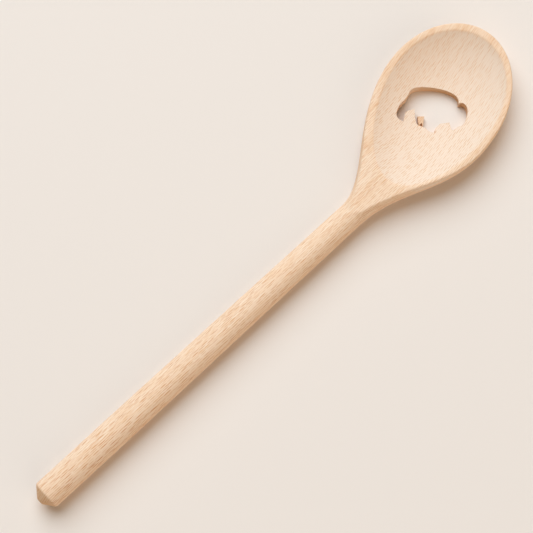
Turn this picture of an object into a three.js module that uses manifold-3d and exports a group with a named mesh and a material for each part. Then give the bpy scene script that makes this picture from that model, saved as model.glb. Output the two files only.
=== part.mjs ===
// A beech cooking spoon lying on a table: a turned handle, glued by its tenon into the neck of a
// hollowed head that is pierced with a standing animal. Millimetres and degrees, +Z up, handle along X.
import * as THREE from 'three';
import { mergeVertices } from 'three/addons/utils/BufferGeometryUtils.js';
import Module from 'manifold-3d';

const wasm = await Module();
wasm.setup();

// Handle, measured from its shoulder at the neck back to the end of the grip.
const handleLength = 188;
const gripDiameter = 13.6;
const gripLength = 45;
const neckDiameter = 12.4;
const endConeLength = 4;
const endFlatDiameter = 3;

// Glued joint.
const tenonDiameter = 8;
const tenonLength = 20;
const tenonChamfer = 0.8;
const glueGap = 0.15;
const glueWell = 1;

// Head, measured from the joint: its widest line, how far that stands to the left, and its turn.
const bowlReach = 72.5;
const bowlOffset = 10.8;
const bowlTurn = 15.4;
const bowlWidth = 61;
const tipReach = 40.2;
const neckStraight = 2.5;
const leftBowlPull = 31.5;
const leftNeckPull = 18;
const rightBowlPull = 38;
const rightNeckPull = 30;
const lipHeight = 2.5;
const domeHeight = 18;
const bellyPlaned = 1;

// Hollow, egg-shaped inside the flat rim, its widest line ahead of the bowl's.
const rimLeftLand = 3.3;
const rimRightLand = 2.8;
const rimTipLand = 3.8;
const hollowAhead = 2;
const hollowNeckReach = 51;
const hollowNeckTaper = 0.12;
const floorThickness = 3.8;

// Pierced figure, placed from the middle of the bowl's widest line.
const figureWidth = 33.7;
const figureBack = 6;
const figureRight = 0.9;
const figureTurn = -43.4;
const tongueHeight = 2.5;

const neckRadius = neckDiameter / 2;
const bowlRadius = bowlWidth / 2;
const axisHeight = gripDiameter / 2;
const rimHeight = axisHeight + neckRadius;
const bowlCentre = new THREE.Vector2(bowlReach, bowlOffset);
const clearOfPart = 20;
const roundSides = 56;

const radians = THREE.MathUtils.degToRad;

function solidOf(geometry) {
  const bare = new THREE.BufferGeometry();
  bare.setAttribute('position', geometry.getAttribute('position'));
  if (geometry.index) bare.setIndex(geometry.index);
  const welded = mergeVertices(bare, 1e-5);
  const mesh = new wasm.Mesh({
    numProp: 3,
    vertProperties: new Float32Array(welded.getAttribute('position').array),
    triVerts: new Uint32Array(welded.index.array),
  });
  return new wasm.Manifold(mesh);
}

function geometryOf(solid) {
  const mesh = solid.getMesh();
  const geometry = new THREE.BufferGeometry();
  geometry.setAttribute('position', new THREE.BufferAttribute(mesh.vertProperties, 3));
  geometry.setIndex(new THREE.BufferAttribute(mesh.triVerts, 1));
  geometry.computeVertexNormals();
  return geometry;
}

// A round piece along X from [distance along X, radius] pairs, listed towards +X.
function turned(profile) {
  const points = profile.map(([along, radius]) => new THREE.Vector2(radius, along));
  return new THREE.LatheGeometry(points, roundSides).rotateZ(-Math.PI / 2).translate(0, 0, axisHeight);
}

// One closed body through rings of equal count: a flat cap at the first, a point after the last.
function lofted(rings, point) {
  const sides = rings[0].length;
  const start = rings[0].reduce((sum, p) => sum.add(p), new THREE.Vector3()).divideScalar(sides);
  const vertices = [start, ...rings.flat(), point];
  const last = vertices.length - 1;
  const index = [];
  for (let side = 0; side < sides; side++) {
    const next = (side + 1) % sides;
    index.push(0, 1 + next, 1 + side);
    for (let ring = 0; ring < rings.length - 1; ring++) {
      const here = 1 + ring * sides;
      const ahead = here + sides;
      index.push(here + side, here + next, ahead + next);
      index.push(here + side, ahead + next, ahead + side);
    }
    index.push(last - sides + side, last - sides + next, last);
  }
  return new THREE.BufferGeometry().setFromPoints(vertices).setIndex(index);
}

// Section of the head between two points of its outline, an oval with its own height above and below.
function section(left, right, middle, above, below) {
  const centre = left.clone().add(right).divideScalar(2);
  const half = left.clone().sub(right).divideScalar(2);
  return Array.from({ length: roundSides }, (_, side) => {
    const angle = (2 * Math.PI * side) / roundSides;
    const across = half.clone().multiplyScalar(Math.cos(angle)).add(centre);
    const up = Math.sin(angle);
    return new THREE.Vector3(across.x, across.y, middle + up * (up > 0 ? above : below));
  });
}

// Side of the head from the neck to the widest line: leaves along the handle, arrives along the bowl.
function sideCurve(sign, neckPull, bowlPull) {
  const along = new THREE.Vector2(1, 0).rotateAround(new THREE.Vector2(), radians(bowlTurn));
  const neck = new THREE.Vector2(neckStraight, sign * neckRadius);
  const widest = new THREE.Vector2(-along.y, along.x).multiplyScalar(sign * bowlRadius).add(bowlCentre);
  return new THREE.CubicBezierCurve(
    neck,
    neck.clone().add(new THREE.Vector2(neckPull, 0)),
    widest.clone().addScaledVector(along, -bowlPull),
    widest,
  );
}

function tipCurve(sign) {
  const quarter = sign * Math.PI / 2;
  return new THREE.EllipseCurve(
    bowlCentre.x, bowlCentre.y, tipReach, bowlRadius, quarter, 0, sign > 0, radians(bowlTurn),
  );
}

function headBody() {
  const widestHeight = rimHeight - lipHeight;
  const neckSides = [sideCurve(1, leftNeckPull, leftBowlPull), sideCurve(-1, rightNeckPull, rightBowlPull)];
  const tipSides = [tipCurve(1), tipCurve(-1)];
  const neckSteps = 18;
  const tipSteps = 16;
  const flush = [new THREE.Vector2(0, neckRadius), new THREE.Vector2(0, -neckRadius)];
  const rings = [section(...flush, axisHeight, neckRadius, neckRadius)];
  for (let step = 0; step <= neckSteps; step++) {
    const share = step / neckSteps;
    const rise = THREE.MathUtils.smoothstep(share, 0, 1);
    const middle = THREE.MathUtils.lerp(axisHeight, widestHeight, rise);
    const above = THREE.MathUtils.lerp(neckRadius, domeHeight, Math.sin((share * Math.PI) / 2));
    const below = THREE.MathUtils.lerp(neckRadius, widestHeight + bellyPlaned, rise);
    rings.push(section(...neckSides.map((side) => side.getPoint(share)), middle, above, below));
  }
  for (let step = 1; step < tipSteps; step++) {
    const share = step / tipSteps;
    const shrink = Math.cos((share * Math.PI) / 2);
    const outline = tipSides.map((side) => side.getPoint(share));
    rings.push(section(...outline, widestHeight, domeHeight * shrink, (widestHeight + bellyPlaned) * shrink));
  }
  const tip = tipSides[0].getPoint(1);
  return solidOf(lofted(rings, new THREE.Vector3(tip.x, tip.y, widestHeight)));
}

// Everything above or below a level, as a block larger than the head.
function blockFrom(level, direction) {
  const size = 2 * (bowlReach + tipReach + clearOfPart);
  const middle = level + (direction * size) / 2;
  const block = new THREE.BoxGeometry(size, size, size);
  return solidOf(block.translate(size / 2 - clearOfPart, bowlOffset, middle));
}

// Cap of a ball whose edge lies on the rim plane, stretched towards the tip and further towards the neck.
function hollowCutter() {
  const depth = rimHeight - floorThickness;
  const radius = bowlRadius - (rimLeftLand + rimRightLand) / 2;
  const ball = (radius * radius + depth * depth) / (2 * depth);
  const overRim = 1;
  const steps = 14;
  const sides = 72;
  const sweep = Math.acos(1 - (depth + overRim) / ball);
  const profile = Array.from({ length: steps + 1 }, (_, step) => {
    const angle = (sweep * step) / steps;
    return new THREE.Vector2(ball * Math.sin(angle), floorThickness + ball * (1 - Math.cos(angle)));
  });
  profile.push(new THREE.Vector2(0, rimHeight + overRim));
  const cap = new THREE.LatheGeometry(profile, sides).rotateX(Math.PI / 2);
  const position = cap.getAttribute('position');
  const hollowTipReach = tipReach - hollowAhead - rimTipLand;
  const toLeft = (rimRightLand - rimLeftLand) / 2;
  for (let i = 0; i < position.count; i++) {
    const share = position.getX(i) / radius;
    const reach = share > 0 ? hollowTipReach : hollowNeckReach;
    const narrowing = share > 0 ? 1 : 1 - hollowNeckTaper * share * share;
    position.setX(i, hollowAhead + reach * share);
    position.setY(i, toLeft + narrowing * position.getY(i));
  }
  return solidOf(cap.rotateZ(radians(bowlTurn)).translate(bowlCentre.x, bowlCentre.y, 0));
}

// The animal, facing left, to any scale: trunk, crown and back, rump, hind foot, belly, front foot, chin.
function animalShape() {
  const shape = new THREE.Shape();
  shape.moveTo(-14.1, -4.7);
  shape.quadraticCurveTo(-17.5, -3.9, -17.3, -0.9);
  shape.bezierCurveTo(-16.8, 2, -15.2, 4.4, -13.2, 6);
  shape.bezierCurveTo(-11.8, 7.4, -11.6, 9, -10.4, 10.6);
  shape.bezierCurveTo(-8.8, 12.7, -5.4, 13, -1.9, 13);
  shape.bezierCurveTo(4.5, 12.9, 12.8, 10.6, 12.5, 5.6);
  shape.lineTo(12.3, 4.9);
  shape.bezierCurveTo(14, 6, 16.4, 4.6, 16.4, 0.6);
  shape.bezierCurveTo(16.2, -2, 14.8, -5.2, 13.4, -6.8);
  shape.lineTo(11.2, -7.2);
  shape.bezierCurveTo(10.2, -9.2, 8.4, -9.2, 8.3, -7.8);
  shape.lineTo(7.7, -4.7);
  shape.lineTo(3.6, -5.1);
  shape.quadraticCurveTo(2.4, -5.7, 0.9, -8);
  shape.lineTo(0.9, -9.8);
  shape.quadraticCurveTo(-1.8, -9.8, -3, -8);
  shape.quadraticCurveTo(-3.9, -6.8, -5.6, -6.7);
  shape.quadraticCurveTo(-7.6, -6.3, -8, -4.4);
  shape.quadraticCurveTo(-8.7, -1.4, -8.5, 2.1);
  shape.bezierCurveTo(-10.6, 0.9, -12.9, 1.3, -13.3, -1.4);
  shape.lineTo(-14.1, -4.7);
  return shape;
}

// A small dovetail left standing low in the opening, in front of the foreleg, to the animal's scale.
function tongueShape() {
  const shape = new THREE.Shape();
  shape.moveTo(-4.6, -8.5);
  shape.lineTo(-4.6, -5.2);
  shape.lineTo(-3.8, -0.8);
  shape.lineTo(-7, -0.8);
  shape.lineTo(-6.6, -5.2);
  shape.lineTo(-6.6, -8.5);
  return shape;
}

function figureCutter() {
  const animal = animalShape();
  const curveSegments = 6;
  const drawn = new THREE.Box2().setFromPoints(animal.getPoints(curveSegments));
  const scale = figureWidth / (drawn.max.x - drawn.min.x);
  const upright = (shape, from, to) => {
    const prism = new THREE.ExtrudeGeometry(shape, { depth: to - from, bevelEnabled: false, curveSegments });
    prism.scale(scale, scale, 1).translate(0, 0, from).rotateZ(radians(figureTurn));
    return solidOf(prism.translate(bowlReach - figureBack, bowlOffset - figureRight, 0));
  };
  const opening = upright(animal, -clearOfPart, rimHeight + clearOfPart);
  return opening.subtract(upright(tongueShape(), -2 * clearOfPart, tongueHeight));
}

function socketCutter() {
  const radius = tenonDiameter / 2 + glueGap;
  const depth = tenonLength + glueWell;
  return solidOf(turned([[-clearOfPart, 0], [-clearOfPart, radius], [depth, radius], [depth, 0]]));
}

function handleSolid() {
  const gripRadius = gripDiameter / 2;
  const tenonRadius = tenonDiameter / 2;
  return solidOf(turned([
    [-handleLength, 0],
    [-handleLength, endFlatDiameter / 2],
    [endConeLength - handleLength, gripRadius],
    [gripLength - handleLength, gripRadius],
    [0, neckRadius],
    [0, tenonRadius],
    [tenonLength - tenonChamfer, tenonRadius],
    [tenonLength, tenonRadius - tenonChamfer],
    [tenonLength, 0],
  ]));
}

function pieceOf(name, solid, colour) {
  const material = new THREE.MeshStandardMaterial({ color: colour, roughness: 0.62, metalness: 0 });
  const piece = new THREE.Mesh(geometryOf(solid), material);
  piece.name = name;
  return piece;
}

const headSolid = headBody()
  .subtract(blockFrom(rimHeight, 1))
  .subtract(blockFrom(0, -1))
  .subtract(hollowCutter())
  .subtract(figureCutter())
  .subtract(socketCutter());

const spoon = new THREE.Group();
spoon.name = 'cooking_spoon';
spoon.add(pieceOf('bowl_head', headSolid, 0xeccaa4));
spoon.add(pieceOf('handle', handleSolid(), 0xe6c096));

// The origin lies on the table under the middle of the spoon.
const middle = new THREE.Box3().setFromObject(spoon, true).getCenter(new THREE.Vector3());
spoon.position.set(-middle.x, -middle.y, 0);

export default spoon;
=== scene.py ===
import math

import bpy
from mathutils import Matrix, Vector


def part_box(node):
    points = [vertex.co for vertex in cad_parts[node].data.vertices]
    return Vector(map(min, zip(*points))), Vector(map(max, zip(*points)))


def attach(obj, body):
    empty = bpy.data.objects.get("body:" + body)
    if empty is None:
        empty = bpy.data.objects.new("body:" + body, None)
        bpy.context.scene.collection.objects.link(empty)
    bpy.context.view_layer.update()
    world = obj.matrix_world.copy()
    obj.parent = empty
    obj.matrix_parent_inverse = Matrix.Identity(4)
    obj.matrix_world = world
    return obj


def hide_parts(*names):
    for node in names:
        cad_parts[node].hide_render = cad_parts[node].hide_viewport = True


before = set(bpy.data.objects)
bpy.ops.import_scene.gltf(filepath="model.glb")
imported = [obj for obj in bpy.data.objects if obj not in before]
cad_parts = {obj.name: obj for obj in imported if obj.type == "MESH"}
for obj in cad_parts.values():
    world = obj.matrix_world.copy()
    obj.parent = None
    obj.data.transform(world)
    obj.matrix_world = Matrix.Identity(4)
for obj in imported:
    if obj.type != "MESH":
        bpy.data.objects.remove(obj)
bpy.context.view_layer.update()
mm = 0.001
hair = 0.001 * mm                # how near a point lies to the place it is picked by

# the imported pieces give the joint's place and the heights
headLow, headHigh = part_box("bowl_head")
handleLow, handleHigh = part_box("handle")
jointX = headLow.x
axisY = (handleLow.y + handleHigh.y) / 2
axisZ = (handleLow.z + handleHigh.z) / 2
rimZ = headHigh.z
print("frame loaded, joint at x", round(jointX, 4))


def deselectAll():
    if bpy.context.object and bpy.context.object.mode != 'OBJECT':
        bpy.ops.object.mode_set(mode='OBJECT')
    bpy.ops.object.select_all(action='DESELECT')


def makeActive(piece):
    deselectAll()
    piece.select_set(True)
    bpy.context.view_layer.objects.active = piece


def pickAll():
    bpy.ops.object.mode_set(mode='EDIT')
    bpy.ops.mesh.select_all(action='SELECT')


def pickVerts(piece, test):
    # leaves the piece in edit mode with only the wanted points selected
    bpy.ops.object.mode_set(mode='EDIT')
    bpy.ops.mesh.select_mode(type='VERT')
    bpy.ops.mesh.select_all(action='DESELECT')
    bpy.ops.object.mode_set(mode='OBJECT')
    for point in piece.data.vertices:
        point.select = test(point.co)
    bpy.ops.object.mode_set(mode='EDIT')


def useModifier(piece, kind, **settings):
    makeActive(piece)
    modifier = piece.modifiers.new(kind.title(), kind)
    for name, value in settings.items():
        setattr(modifier, name, value)
    bpy.ops.object.modifier_apply(modifier=modifier.name)


def cutWith(piece, cutter, operation='DIFFERENCE'):
    useModifier(piece, 'BOOLEAN', object=cutter, operation=operation, solver='EXACT')
    bpy.data.objects.remove(cutter)


# Head: oval rings from the round neck to the tip, planed flat on top and below, then hollowed and pierced
head = {
    "neckRadius": 6.2 * mm,
    "neckStraight": 2.5 * mm,
    "neckSpare": 4 * mm,         # cut off again at the joint, so the neck's end stays crisp
    "bowlReach": 72.5 * mm,
    "bowlOffset": 10.8 * mm,
    "bowlTurn": math.radians(15.4),
    "bowlRadius": 30.5 * mm,
    "tipReach": 40.2 * mm,
    "leftPulls": (18 * mm, 31.5 * mm),
    "rightPulls": (30 * mm, 38 * mm),
    "lipHeight": 2.5 * mm,
    "domeHeight": 18 * mm,
    "bellyPlaned": 1 * mm,
    "ringPoints": 128,
    "neckRings": 40,
    "tipRings": 40,
    "voxel": 0.4 * mm,
    "sanding": 5,                # smoothing passes, as edges eased by sanding
    "sandingShare": 0.5,         # how far a point moves in one pass
    "sliver": 0.03 * mm,
}
bowlCentre = Vector((jointX + head["bowlReach"], axisY + head["bowlOffset"]))
bowlAlong = Vector((math.cos(head["bowlTurn"]), math.sin(head["bowlTurn"])))
bowlAcross = Vector((-bowlAlong.y, bowlAlong.x))


def addRing(left, right, middle, above, below):
    centre, across = (left + right) / 2, left - right
    bpy.ops.mesh.primitive_circle_add(
        vertices=head["ringPoints"], radius=1, location=(centre.x, centre.y, middle),
        rotation=(math.pi / 2, 0, math.atan2(across.y, across.x)))
    ring = bpy.context.object
    ring.scale = (across.length / 2, below, 1)
    bpy.ops.object.transform_apply(location=True, rotation=True, scale=True)
    pickVerts(ring, lambda co: co.z > middle + hair)
    bpy.ops.transform.resize(value=(1, 1, above / below), center_override=(centre.x, centre.y, middle))
    bpy.ops.object.mode_set(mode='OBJECT')
    return ring


def sideAt(sign, share, pulls):
    # cubic from the neck to the widest line, leaving along the handle and arriving along the bowl
    neck = Vector((jointX + head["neckStraight"], axisY + sign * head["neckRadius"]))
    widest = bowlCentre + bowlAcross * sign * head["bowlRadius"]
    ahead, behind = neck + Vector((pulls[0], 0)), widest - bowlAlong * pulls[1]
    back = 1 - share
    near = neck * back**3 + ahead * 3 * share * back**2
    return near + behind * 3 * share**2 * back + widest * share**3


def mix(low, high, share):
    return low + (high - low) * share


deselectAll()
neckRadius = head["neckRadius"]
widestZ = rimZ - head["lipHeight"]
bellyDepth = widestZ + head["bellyPlaned"]
backX = jointX - head["neckSpare"]
backLeft = Vector((backX, axisY + neckRadius))
backRight = Vector((backX, axisY - neckRadius))
rings = [addRing(backLeft, backRight, axisZ, neckRadius, neckRadius)]
for step in range(head["neckRings"] + 1):
    share = step / head["neckRings"]
    rise = share * share * (3 - 2 * share)
    above = mix(neckRadius, head["domeHeight"], math.sin(share * math.pi / 2))
    below = mix(neckRadius, bellyDepth, rise)
    left = sideAt(1, share, head["leftPulls"])
    right = sideAt(-1, share, head["rightPulls"])
    rings.append(addRing(left, right, mix(axisZ, widestZ, rise), above, below))
for step in range(1, head["tipRings"]):
    angle = step / head["tipRings"] * math.pi / 2
    shrink = math.cos(angle)
    centre = bowlCentre + bowlAlong * head["tipReach"] * math.sin(angle)
    half = bowlAcross * head["bowlRadius"] * shrink
    above = head["domeHeight"] * shrink
    rings.append(addRing(centre + half, centre - half, widestZ, above, bellyDepth * shrink))
deselectAll()
for ring in rings:
    ring.select_set(True)
bowlHead = rings[0]
bpy.context.view_layer.objects.active = bowlHead
bpy.ops.object.join()
bowlHead.name = bowlHead.data.name = "beech_head"
pickAll()
bpy.ops.mesh.bridge_edge_loops()
# the last ring is closed to a point at the tip, the first with a flat face
lastReach = head["tipReach"] * math.sin((1 - 1 / head["tipRings"]) * math.pi / 2)
pickVerts(bowlHead, lambda co: (co.xy - bowlCentre).dot(bowlAlong) > lastReach - hair)
bpy.ops.mesh.extrude_region_move(TRANSFORM_OT_translate={"value": (0, 0, 0)})
bpy.ops.mesh.merge(type='CENTER')
pickVerts(bowlHead, lambda co: co.x < backX + hair)
bpy.ops.mesh.edge_face_add()
pickAll()
bpy.ops.mesh.normals_make_consistent(inside=False)
# planed to the rim's height, then flat under the belly
bpy.ops.mesh.bisect(plane_co=(0, 0, rimZ), plane_no=(0, 0, 1), use_fill=True, clear_outer=True)
pickAll()
bpy.ops.mesh.bisect(plane_co=(0, 0, 0), plane_no=(0, 0, -1), use_fill=True, clear_outer=True)
bpy.ops.object.mode_set(mode='OBJECT')
print("head body", len(bowlHead.data.polygons), "faces")

# Hollow: the low cap of a ball, longer towards the neck than towards the tip
hollow = {
    "radius": 27.45 * mm,
    "floor": 3.8 * mm,
    "ahead": 2 * mm,
    "toRight": 0.25 * mm,
    "tipReach": 34.4 * mm,
    "neckReach": 51 * mm,
    "neckTaper": 0.12,
    "above": 1 * mm,             # how far the cutter stands above the rim
    "steps": 160,
    "toneFrom": 0.1 * mm,        # below the rim, where the hollow's paler wood starts
    "toneOver": 0.5 * mm,
    "toneReach": 1.03,           # just past the hollow's edge, which the sanding moved
    "facingUp": 0.1,
}
deselectAll()
hollowDepth = rimZ - hollow["floor"]
ball = (hollow["radius"] ** 2 + hollowDepth ** 2) / (2 * hollowDepth)
bpy.ops.mesh.primitive_uv_sphere_add(
    segments=hollow["steps"], ring_count=hollow["steps"], radius=ball,
    location=(0, 0, hollow["floor"] + ball))
hollowCutter = bpy.context.object
bpy.ops.object.transform_apply(location=True)
pickAll()
cutterTop = (0, 0, rimZ + hollow["above"])
bpy.ops.mesh.bisect(plane_co=cutterTop, plane_no=(0, 0, 1), use_fill=True, clear_outer=True)
pickVerts(hollowCutter, lambda co: co.x > hair)
bpy.ops.transform.resize(value=(hollow["tipReach"] / hollow["radius"], 1, 1), center_override=(0, 0, 0))
pickVerts(hollowCutter, lambda co: co.x < -hair)
bpy.ops.transform.resize(value=(hollow["neckReach"] / hollow["radius"], 1, 1), center_override=(0, 0, 0))
bpy.ops.object.mode_set(mode='OBJECT')
for point in hollowCutter.data.vertices:         # drawn in towards the neck
    if point.co.x < 0:
        point.co.y *= 1 - hollow["neckTaper"] * (point.co.x / hollow["neckReach"]) ** 2
hollowMiddle = bowlCentre + bowlAlong * hollow["ahead"] - bowlAcross * hollow["toRight"]
hollowCutter.location = (hollowMiddle.x, hollowMiddle.y, 0)
hollowCutter.rotation_euler = (0, 0, head["bowlTurn"])
bpy.ops.object.transform_apply(location=True, rotation=True)
cutWith(bowlHead, hollowCutter)
print("hollow cut")

useModifier(bowlHead, 'REMESH', mode='VOXEL', voxel_size=head["voxel"], use_smooth_shade=True)
useModifier(bowlHead, 'SMOOTH', factor=head["sandingShare"], iterations=head["sanding"])
makeActive(bowlHead)
pickAll()
bpy.ops.mesh.bisect(plane_co=(jointX, 0, 0), plane_no=(-1, 0, 0), use_fill=True, clear_outer=True)
bpy.ops.object.mode_set(mode='OBJECT')
# trued after sanding: the belly lies on the floor, and the neck is round where it meets the handle
neckAxis = Vector((axisY, axisZ))
for point in bowlHead.data.vertices:
    point.co.z = max(point.co.z, 0)
    fromJoint = (point.co.x - jointX) / head["neckStraight"]
    offset = Vector((point.co.y, point.co.z)) - neckAxis
    if fromJoint < 1 and offset.length > neckRadius / 2:
        rounded = neckAxis + offset.normalized() * mix(neckRadius, offset.length, max(fromJoint, 0))
        point.co.y, point.co.z = rounded
print("head sanded,", len(bowlHead.data.polygons), "faces")

# Pierced animal: a flat curve, each row an end point with its two handles
animal = {
    "middle": (-6 * mm, -0.9 * mm),
    "turn": math.radians(-43.4),
    "rows": [
        # x, y, handle in x, y, handle out x, y, all in millimetres
        (-14.1, -4.7, -13.83, -3.6, -16.37, -4.17),
        (-17.3, -0.9, -17.43, -2.9, -16.8, 2.0),
        (-13.2, 6.0, -15.2, 4.4, -11.8, 7.4),
        (-10.4, 10.6, -11.6, 9.0, -8.8, 12.7),
        (-1.9, 13.0, -5.4, 13.0, 4.5, 12.9),
        (12.5, 5.6, 12.8, 10.6, 12.43, 5.37),
        (12.3, 4.9, 12.37, 5.13, 14.0, 6.0),
        (16.4, 0.6, 16.4, 4.6, 16.2, -2.0),
        (13.4, -6.8, 14.8, -5.2, 12.67, -6.93),
        (11.2, -7.2, 11.93, -7.07, 10.2, -9.2),
        (8.3, -7.8, 8.4, -9.2, 8.1, -6.77),
        (7.7, -4.7, 7.9, -5.73, 6.33, -4.83),
        (3.6, -5.1, 4.97, -4.97, 2.8, -5.5),
        (0.9, -8.0, 1.9, -6.47, 0.9, -8.6),
        (0.9, -9.8, 0.9, -9.2, -0.9, -9.8),
        (-3.0, -8.0, -2.2, -9.2, -3.6, -7.2),
        (-5.6, -6.7, -4.47, -6.77, -6.93, -6.43),
        (-8.0, -4.4, -7.73, -5.67, -8.47, -2.4),
        (-8.5, 2.1, -8.63, -0.23, -10.6, 0.9),
        (-13.3, -1.4, -12.9, 1.3, -13.57, -2.5),
    ],
    "cutHeight": 20 * mm,
    "curveSteps": 12,
    "reach": 19 * mm,            # the whole figure lies this near its middle
    "tongueTop": 2.5 * mm,
    "tongue": [(-4.6, -8.5), (-4.6, -5.2), (-3.8, -0.8), (-7.0, -0.8), (-6.6, -5.2), (-6.6, -8.5)],
    "tongueFoot": 0.3 * mm,
    "pit": (-5.4, -5.0),         # torn out of the tongue beside the wall
    "pitRadius": 1.15 * mm,
    "pitTurn": math.radians(-20),
    # where the tongue's points are found for its tone, and how much of the opening walls' browner tone its
    # top takes
    "tongueLow": (-7.3 * mm, -6 * mm, 0.2 * mm),
    "tongueHigh": (-3.5 * mm, -0.5 * mm, 2.6 * mm),
    "tongueWallTone": 0.3,
    # a wall is fully sawn where it stands up straight, and not where it lies flatter than this
    "wallFlat": 0.8,
    "wallFade": 0.5,
}
figureMiddle = bowlCentre + Vector(animal["middle"])


def turnFigure(piece):
    # from the figure's own flat drawing to its place in the bowl
    piece.location = (figureMiddle.x, figureMiddle.y, 0)
    piece.rotation_euler = (0, 0, animal["turn"])
    bpy.ops.object.transform_apply(location=True, rotation=True, scale=True)


deselectAll()
bpy.ops.curve.primitive_bezier_circle_add(radius=1)
animalCurve = bpy.context.object
animalCurve.data.dimensions = '2D'
animalCurve.data.fill_mode = 'BOTH'
animalCurve.data.extrude = animal["cutHeight"]
animalCurve.data.resolution_u = animal["curveSteps"]
spline = animalCurve.data.splines[0]
spline.bezier_points.add(len(animal["rows"]) - len(spline.bezier_points))
for point, (x, y, inX, inY, outX, outY) in zip(spline.bezier_points, animal["rows"]):
    point.handle_left_type = point.handle_right_type = 'FREE'
    point.co = (x * mm, y * mm, 0)
    point.handle_left = (inX * mm, inY * mm, 0)
    point.handle_right = (outX * mm, outY * mm, 0)
bpy.ops.object.convert(target='MESH')
animalCutter = bpy.context.object
turnFigure(animalCutter)
pickAll()
bpy.ops.mesh.remove_doubles(threshold=hair)
bpy.ops.mesh.normals_make_consistent(inside=False)
bpy.ops.object.mode_set(mode='OBJECT')
cutWith(bowlHead, animalCutter)

# the small dovetail left standing low in the opening
deselectAll()
bpy.ops.mesh.primitive_circle_add(vertices=len(animal["tongue"]), radius=1, fill_type='NGON')
tongue = bpy.context.object
for point, (x, y) in zip(tongue.data.vertices, animal["tongue"]):
    point.co = (x * mm, y * mm, animal["tongueFoot"])
turnFigure(tongue)
pickAll()
tongueHeight = animal["tongueTop"] - animal["tongueFoot"]
bpy.ops.mesh.extrude_region_move(TRANSFORM_OT_translate={"value": (0, 0, tongueHeight)})
pickAll()
bpy.ops.mesh.normals_make_consistent(inside=False)
bpy.ops.object.mode_set(mode='OBJECT')
cutWith(bowlHead, tongue, 'UNION')
deselectAll()
bpy.ops.mesh.primitive_cone_add(
    vertices=3, radius1=animal["pitRadius"] / 2, radius2=animal["pitRadius"], depth=tongueHeight,
    location=(animal["pit"][0] * mm, animal["pit"][1] * mm, animal["tongueTop"] - tongueHeight / 3),
    rotation=(0, 0, animal["pitTurn"]))
pit = bpy.context.object
bpy.ops.object.transform_apply(location=True, rotation=True)
turnFigure(pit)
cutWith(bowlHead, pit)
print("animal pierced,", len(bowlHead.data.polygons), "faces")

# Socket: bored into the neck for the handle's tenon, with room for glue round it and at its end
socket = {
    "radius": 4.15 * mm,
    "depth": 21 * mm,
    "sides": 96,
}
deselectAll()
bpy.ops.mesh.primitive_cylinder_add(
    vertices=socket["sides"], radius=socket["radius"], depth=2 * socket["depth"],
    location=(jointX, axisY, axisZ), rotation=(0, math.pi / 2, 0))
boring = bpy.context.object
bpy.ops.object.transform_apply(location=True, rotation=True)
cutWith(bowlHead, boring)
# slivers left along the cuts are merged away
pickAll()
bpy.ops.mesh.remove_doubles(threshold=head["sliver"])
bpy.ops.mesh.dissolve_degenerate(threshold=head["sliver"] / 10)
bpy.ops.object.mode_set(mode='OBJECT')
print("socket bored,", len(bowlHead.data.polygons), "faces")

# Handle: one ring drawn out along X, with a blunt cone at the grip and a tenon in the neck
handle = {
    "gripRadius": 6.8 * mm,
    "gripLength": 45 * mm,
    "coneLength": 4 * mm,
    "endRadius": 1.5 * mm,
    "tenonRadius": 4 * mm,
    "tenonLength": 20 * mm,
    "sides": 160,
    "ridgeEase": 0.7 * mm,
    "pointEase": 0.7 * mm,
    "easeSteps": 6,
}
deselectAll()
endX = handleLow.x
bpy.ops.mesh.primitive_circle_add(
    vertices=handle["sides"], radius=handle["endRadius"], fill_type='NGON',
    location=(endX, axisY, axisZ), rotation=(0, math.pi / 2, 0))
handlePiece = bpy.context.object
handlePiece.name = handlePiece.data.name = "beech_handle"
bpy.ops.object.transform_apply(location=True, rotation=True)
pickAll()
atX, atRadius = endX, handle["endRadius"]
for nextX, nextRadius in (
        (endX + handle["coneLength"], handle["gripRadius"]),
        (endX + handle["gripLength"], handle["gripRadius"]),
        (jointX, head["neckRadius"]),
        (jointX, handle["tenonRadius"]),
        (jointX + handle["tenonLength"], handle["tenonRadius"])):
    bpy.ops.mesh.extrude_region_move(TRANSFORM_OT_translate={"value": (nextX - atX, 0, 0)})
    grow = nextRadius / atRadius
    bpy.ops.transform.resize(value=(1, grow, grow), center_override=(nextX, axisY, axisZ))
    atX, atRadius = nextX, nextRadius
pickAll()
bpy.ops.mesh.normals_make_consistent(inside=False)
# the ridge round the grip's end and the blunt point are eased, the shoulder at the joint stays sharp
for ringX, ease in ((endX + handle["coneLength"], handle["ridgeEase"]), (endX, handle["pointEase"])):
    pickVerts(handlePiece, lambda co: abs(co.x - ringX) < hair)
    bpy.ops.mesh.bevel(offset=ease, segments=handle["easeSteps"], affect='EDGES')
bpy.ops.object.mode_set(mode='OBJECT')
print("handle turned,", len(handlePiece.data.polygons), "faces")

sharpAbove = math.radians(40)
for piece in (bowlHead, handlePiece):
    makeActive(piece)
    bpy.ops.object.shade_smooth_by_angle(angle=sharpAbove)


def linear(hexColour):
    parts = [int(hexColour[i:i + 2], 16) / 255 for i in (1, 3, 5)]
    return [c / 12.92 if c <= 0.04045 else ((c + 0.055) / 1.055) ** 2.4 for c in parts] + [1]


def addNode(tree, kind, settings):
    # a setting is an input's value, the socket that feeds it, or one of the node's own choices
    node = tree.nodes.new(kind)
    for name, value in settings.items():
        if isinstance(value, bpy.types.NodeSocket):
            tree.links.new(value, node.inputs[name])
        elif isinstance(name, int) or name in node.inputs:
            node.inputs[name].default_value = value
        else:
            setattr(node, name, value)
    return node


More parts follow.
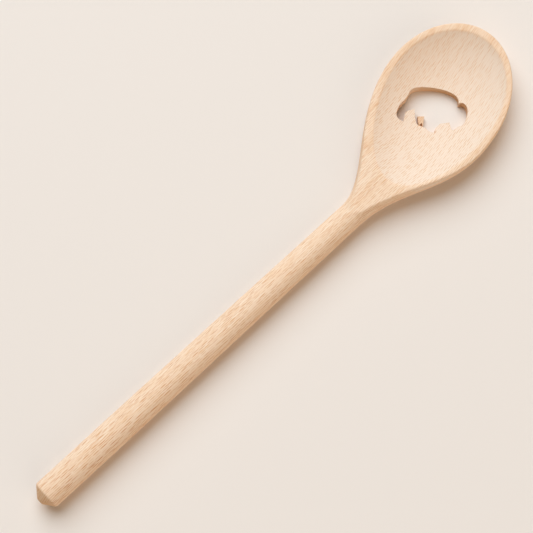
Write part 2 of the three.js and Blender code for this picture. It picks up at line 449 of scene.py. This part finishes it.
# Which points of the head lie in the hollow, and which on the sawn wall of the opening
hollowed = bowlHead.data.attributes.new("hollowed", 'FLOAT', 'POINT')
sawn = bowlHead.data.attributes.new("sawn", 'FLOAT', 'POINT')
figureAlong = Vector((math.cos(animal["turn"]), math.sin(animal["turn"])))
figureUp = Vector((-figureAlong.y, figureAlong.x))
for point, inHollow, onWall in zip(bowlHead.data.vertices, hollowed.data, sawn.data):
    fromHollow = point.co.xy - hollowMiddle
    along, across = fromHollow.dot(bowlAlong), fromHollow.dot(bowlAcross)
    reach = hollow["tipReach"] if along > 0 else hollow["neckReach"]
    below = (rimZ - hollow["toneFrom"] - point.co.z) / hollow["toneOver"]
    inside = math.hypot(along / reach, across / hollow["radius"]) < hollow["toneReach"]
    if inside and point.normal.z > hollow["facingUp"]:
        inHollow.value = min(max(below, 0), 1)
    fromFigure = point.co.xy - figureMiddle
    if fromFigure.length < animal["reach"]:
        onWall.value = min(max((animal["wallFlat"] - abs(point.normal.z)) / animal["wallFade"], 0), 1)
    drawn = (fromFigure.dot(figureAlong), fromFigure.dot(figureUp), point.co.z)
    # the tongue's top takes none of the hollow's paler tone and part of the walls' browner tone
    if all(low < at < high for low, at, high in zip(animal["tongueLow"], drawn, animal["tongueHigh"])):
        inHollow.value, onWall.value = 0, animal["tongueWallTone"]

# Beech, turned, planed and sanded bare: pale and peachy with a dry satin look. Fine fibres run along the
# handle and bend aside in the head, with short darker dashes where rays are cut and fainter ones for pores,
# and the wood is browner where the fibres are cut across
beech = {
    "base": "#fae0c5",
    "light": "#fce6ce",
    "dark": "#f2caa2",
    "summer": "#efc59b",           # the denser wood at the end of a year's growth
    "dash": "#cf864a",
    "pore": "#e4ba8f",
    "hollowed": "#f5e1cd",
    "endGrain": "#dca66b",
    "sawn": "#bb8b58",
    "year": 2.6 * mm,
    "pith": (-25 * mm, -70 * mm),           # across and below, so the board is nearly flat sawn
    "lean": (160 * mm, 40 * mm, 40 * mm),   # how far apart the fibres lean to one side and back
    "leanBy": 0.8 * mm,
    "bendFrom": 38 * mm,                    # past the joint, where the fibres start to turn aside
    "bendOver": 20 * mm,
    "bendSlope": 0.22,
    # rows of lines, by length, width of a row, and how much of that width a line takes:
    # real fibres, rays and pores are finer, drawn this coarse to show
    "lines": {
        "fibre": (8 * mm, 0.8 * mm, 0.55),
        "ray": (4.6 * mm, 0.8 * mm, 0.38),
        "pore": (3.8 * mm, 0.85 * mm, 0.4),
    },
    "lineStray": (0.33, 0.34),              # a line lies from here in its row, and this much further at most
    "lineCore": 0.3,                        # of a line's width, full as far as this and gone at the next
    "lineEdge": 0.6,
    "raysFrom": -150 * mm,
    "raysTo": 60 * mm,
    "raysAtHead": 0.55,
    "rimFrom": 70 * mm,                     # the rim is a little warmer than the neck
    "rimTo": 110 * mm,
    "rough": (0.78, 0.62),                  # from the palest fibres to the densest
    "shine": 0.25,                          # bare wood, no oil or lacquer on it
    "relief": 0.5,
    "reliefDepth": 0.06 * mm,
}


def sandedBeech(name):
    material = bpy.data.materials.new(name)
    material.use_nodes = True
    tree = material.node_tree
    shader = tree.nodes["Principled BSDF"]
    coords = addNode(tree, "ShaderNodeTexCoord", {})
    place = coords.outputs["Object"]
    spread = addNode(tree, "ShaderNodeMapping", {
        "Vector": place, "Scale": [1 / size for size in beech["lean"]]})
    lean = addNode(tree, "ShaderNodeTexNoise", {"Vector": spread.outputs[0], "Scale": 1, "Detail": 1})
    leaning = addNode(tree, "ShaderNodeVectorMath", {
        "operation": 'MULTIPLY_ADD', 0: lean.outputs["Color"],
        1: (0, beech["leanBy"], beech["leanBy"]), 2: place})
    # in the head the fibres bend aside with the bowl
    straight = addNode(tree, "ShaderNodeSeparateXYZ", {"Vector": leaning.outputs[0]})
    reach = addNode(tree, "ShaderNodeMath", {
        "operation": 'SUBTRACT', 0: straight.outputs["X"], 1: jointX + beech["bendFrom"]})
    beyond = addNode(tree, "ShaderNodeMath", {"operation": 'MAXIMUM', 0: reach.outputs[0], 1: 0}).outputs[0]
    squared = addNode(tree, "ShaderNodeMath", {"operation": 'MULTIPLY', 0: beyond, 1: beyond})
    further = addNode(tree, "ShaderNodeMath", {"operation": 'ADD', 0: beyond, 1: beech["bendOver"]})
    bend = addNode(tree, "ShaderNodeMath", {
        "operation": 'DIVIDE', 0: squared.outputs[0], 1: further.outputs[0]})
    aside = addNode(tree, "ShaderNodeMath", {
        "operation": 'MULTIPLY_ADD', 0: bend.outputs[0], 1: -beech["bendSlope"], 2: straight.outputs["Y"]})
    grain = addNode(tree, "ShaderNodeCombineXYZ", {
        "X": straight.outputs["X"], "Y": aside.outputs[0], "Z": straight.outputs["Z"]}).outputs[0]

    # lines run along X, in rows side by side on top and below, and one above another on the sides
    spot = addNode(tree, "ShaderNodeSeparateXYZ", {"Vector": grain})
    turned = addNode(tree, "ShaderNodeVectorMath", {"operation": 'ABSOLUTE', 0: coords.outputs["Normal"]})
    facing = addNode(tree, "ShaderNodeSeparateXYZ", {"Vector": turned.outputs[0]})
    onSide = addNode(tree, "ShaderNodeMath", {
        "operation": 'GREATER_THAN', 0: facing.outputs["Y"], 1: facing.outputs["Z"]})
    flat = addNode(tree, "ShaderNodeCombineXYZ", {"X": spot.outputs["X"], "Y": spot.outputs["Y"]})
    steep = addNode(tree, "ShaderNodeCombineXYZ", {"X": spot.outputs["X"], "Y": spot.outputs["Z"], "Z": 1})
    face = addNode(tree, "ShaderNodeMixRGB", {
        "Fac": onSide.outputs[0], "Color1": flat.outputs[0], "Color2": steep.outputs[0]}).outputs["Color"]

    lines, onLine = {}, {}
    strayFrom, strayBy = beech["lineStray"]
    for kind, (length, width, part) in beech["lines"].items():
        # each row begins about half a line further along X than the last, so lines seldom end side by side
        shelf = addNode(tree, "ShaderNodeVectorMath", {"operation": 'SNAP', 0: face, 1: (0, width, 1)})
        onward = addNode(tree, "ShaderNodeVectorMath", {
            "operation": 'CROSS_PRODUCT', 0: shelf.outputs[0], 1: (0, 0, length / width / 2)})
        stepped = addNode(tree, "ShaderNodeVectorMath", {"operation": 'ADD', 0: face, 1: onward.outputs[0]})
        chance = addNode(tree, "ShaderNodeTexWhiteNoise", {"Vector": shelf.outputs[0]})
        begun = addNode(tree, "ShaderNodeVectorMath", {
            "operation": 'MULTIPLY_ADD', 0: chance.outputs["Color"], 1: (length / 2, 0, 0),
            2: stepped.outputs[0]}).outputs[0]
        # each line in it has its own strength
        line = addNode(tree, "ShaderNodeVectorMath", {"operation": 'SNAP', 0: begun, 1: (length, width, 1)})
        own = addNode(tree, "ShaderNodeTexWhiteNoise", {"Vector": line.outputs[0]})
        lines[kind] = own.outputs["Value"]
        # and lies somewhere in the middle third of the row, thinning out to both ends
        cell = addNode(tree, "ShaderNodeMapping", {"Vector": begun, "Scale": (1 / length, 1 / width, 0)})
        inCell = addNode(tree, "ShaderNodeVectorMath", {"operation": 'FRACTION', 0: cell.outputs[0]})
        drawn = addNode(tree, "ShaderNodeVectorMath", {
            "operation": 'MULTIPLY', 0: inCell.outputs[0], 1: (part, 1, 0)})
        middle = addNode(tree, "ShaderNodeVectorMath", {
            "operation": 'MULTIPLY_ADD', 0: own.outputs["Color"], 1: (0, strayBy, 0),
            2: (part / 2, strayFrom, 0)})
        away = addNode(tree, "ShaderNodeVectorMath", {
            "operation": 'DISTANCE', 0: drawn.outputs[0], 1: middle.outputs[0]})
        onLine[kind] = addNode(tree, "ShaderNodeMapRange", {
            "Value": away.outputs["Value"], "From Min": beech["lineCore"] * part,
            "From Max": beech["lineEdge"] * part, "To Min": 1, "To Max": 0}).outputs["Result"]

    # rays are cut broadest near the grip
    broad = addNode(tree, "ShaderNodeMapRange", {
        "Value": spot.outputs["X"], "From Min": beech["raysFrom"], "From Max": beech["raysTo"],
        "To Min": 1, "To Max": beech["raysAtHead"]})
    onRay = addNode(tree, "ShaderNodeMath", {
        "operation": 'MULTIPLY', 0: onLine["ray"], 1: broad.outputs["Result"]}).outputs[0]

    # growth rings round the pith
    fromPith = addNode(tree, "ShaderNodeMapping", {
        "Vector": grain, "Location": (0, -beech["pith"][0], -beech["pith"][1]), "Scale": (0, 1, 1)})
    radius = addNode(tree, "ShaderNodeVectorMath", {"operation": 'LENGTH', 0: fromPith.outputs[0]})
    years = addNode(tree, "ShaderNodeMath", {
        "operation": 'DIVIDE', 0: radius.outputs["Value"], 1: beech["year"]})
    ring = addNode(tree, "ShaderNodeTexNoise", {
        "noise_dimensions": '1D', "W": years.outputs[0], "Scale": 1, "Detail": 2}).outputs["Fac"]

    inHollow = addNode(tree, "ShaderNodeAttribute", {"attribute_name": "hollowed"}).outputs["Fac"]
    onWall = addNode(tree, "ShaderNodeAttribute", {"attribute_name": "sawn"}).outputs["Fac"]

    # tones laid over each other: where each starts to show, where it is full, and how much of it then
    colour = linear(beech["base"])
    for tone, shows, starts, full, most in (
            ("summer", ring, 0.4, 0.75, 0.55),
            ("light", lines["fibre"], 0.5, 0, onLine["fibre"]),
            ("dark", lines["fibre"], 0.5, 1, onLine["fibre"]),
            ("dash", lines["ray"], 0.42, 0.92, onRay),
            ("summer", spot.outputs["X"], beech["rimFrom"], beech["rimTo"], 0.18),
            ("hollowed", inHollow, 0, 1, 0.88),
            ("pore", lines["pore"], -0.2, 0.9, onLine["pore"]),
            ("endGrain", facing.outputs["X"], 0.45, 0.9, 0.6),
            ("sawn", onWall, 0, 1, 0.8)):
        share = addNode(tree, "ShaderNodeMapRange", {
            "Value": shows, "From Min": starts, "From Max": full, "To Max": most})
        colour = addNode(tree, "ShaderNodeMixRGB", {
            "Fac": share.outputs["Result"], "Color1": colour, "Color2": linear(beech[tone])}).outputs["Color"]
    tree.links.new(colour, shader.inputs["Base Color"])

    dry = addNode(tree, "ShaderNodeMapRange", {
        "Value": lines["fibre"], "From Min": 0.2, "From Max": 0.8,
        "To Min": beech["rough"][0], "To Max": beech["rough"][1]})
    tree.links.new(dry.outputs["Result"], shader.inputs["Roughness"])
    shader.inputs["Specular IOR Level"].default_value = beech["shine"]
    bump = addNode(tree, "ShaderNodeBump", {
        "Height": lines["fibre"], "Strength": beech["relief"], "Distance": beech["reliefDepth"]})
    tree.links.new(bump.outputs["Normal"], shader.inputs["Normal"])
    return material


for piece, name in ((bowlHead, "beech_planed_sanded"), (handlePiece, "beech_turned_sanded")):
    piece.data.materials.clear()
    piece.data.materials.append(sandedBeech(name))
print("beech finished")

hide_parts("bowl_head")
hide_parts("handle")
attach(bowlHead, "root")
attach(handlePiece, "root")

# A plain pale floor. A broad soft key stands behind the spoon and a weaker warm fill on its other side,
# with a little light all round
studio = {
    "floorSize": 4,
    "floorColour": "#eee6dd",
    "floorRough": 0.8,
    "lamps": {
        # place in metres, size across, power, colour
        "key": ((1.04, 2.19, 3.17), 4.6, 208, "#f0f7ff"),
        "fill": ((0, -2.94, 1.9), 4, 50, "#ffe7d3"),
    },
    "skyColour": "#ffe6bd",
    "skyStrength": 0.13,
}
deselectAll()
bpy.ops.mesh.primitive_plane_add(size=studio["floorSize"], location=(0, 0, 0))
floor = bpy.context.object
floor.name = "pale_floor"
paint = bpy.data.materials.new("pale_floor")
paint.use_nodes = True
paint.node_tree.nodes["Principled BSDF"].inputs["Base Color"].default_value = linear(studio["floorColour"])
paint.node_tree.nodes["Principled BSDF"].inputs["Roughness"].default_value = studio["floorRough"]
floor.data.materials.append(paint)
for name, (place, size, power, colour) in studio["lamps"].items():
    bpy.ops.object.light_add(type='AREA', location=place)
    lamp = bpy.context.object
    lamp.name = lamp.data.name = name
    lamp.data.shape = 'DISK'
    lamp.data.size = size
    lamp.data.color = linear(colour)[:3]
    lamp.data.energy = power
    lamp.rotation_euler = (-Vector(place)).to_track_quat('-Z', 'Y').to_euler()
world = bpy.data.worlds.new("studio")
bpy.context.scene.world = world
world.use_nodes = True
world.node_tree.nodes["Background"].inputs["Color"].default_value = linear(studio["skyColour"])
world.node_tree.nodes["Background"].inputs["Strength"].default_value = studio["skyStrength"]

# Camera, at the photograph's angle
camera = {
    "azimuth": math.radians(-43.44),
    "elevation": math.radians(75),
    "target": Vector((-3.01 * mm, -0.05 * mm, 0)),
    "distance": 700 * mm,
    "lens": 102.38,              # lens and sensor in millimetres
    "sensor": 36,
    "nearest": 10 * mm,
}
back = Vector((
    math.sin(camera["azimuth"]) * math.cos(camera["elevation"]),
    -math.cos(camera["azimuth"]) * math.cos(camera["elevation"]),
    math.sin(camera["elevation"])))
bpy.ops.object.camera_add(location=camera["target"] + back * camera["distance"])
eye = bpy.context.object
eye.rotation_euler = (-back).to_track_quat('-Z', 'Y').to_euler()
eye.data.lens = camera["lens"]
eye.data.sensor_width = camera["sensor"]
eye.data.clip_start = camera["nearest"]
bpy.context.scene.camera = eye
bpy.context.scene.view_settings.view_transform = 'Standard'

print("scene ready")
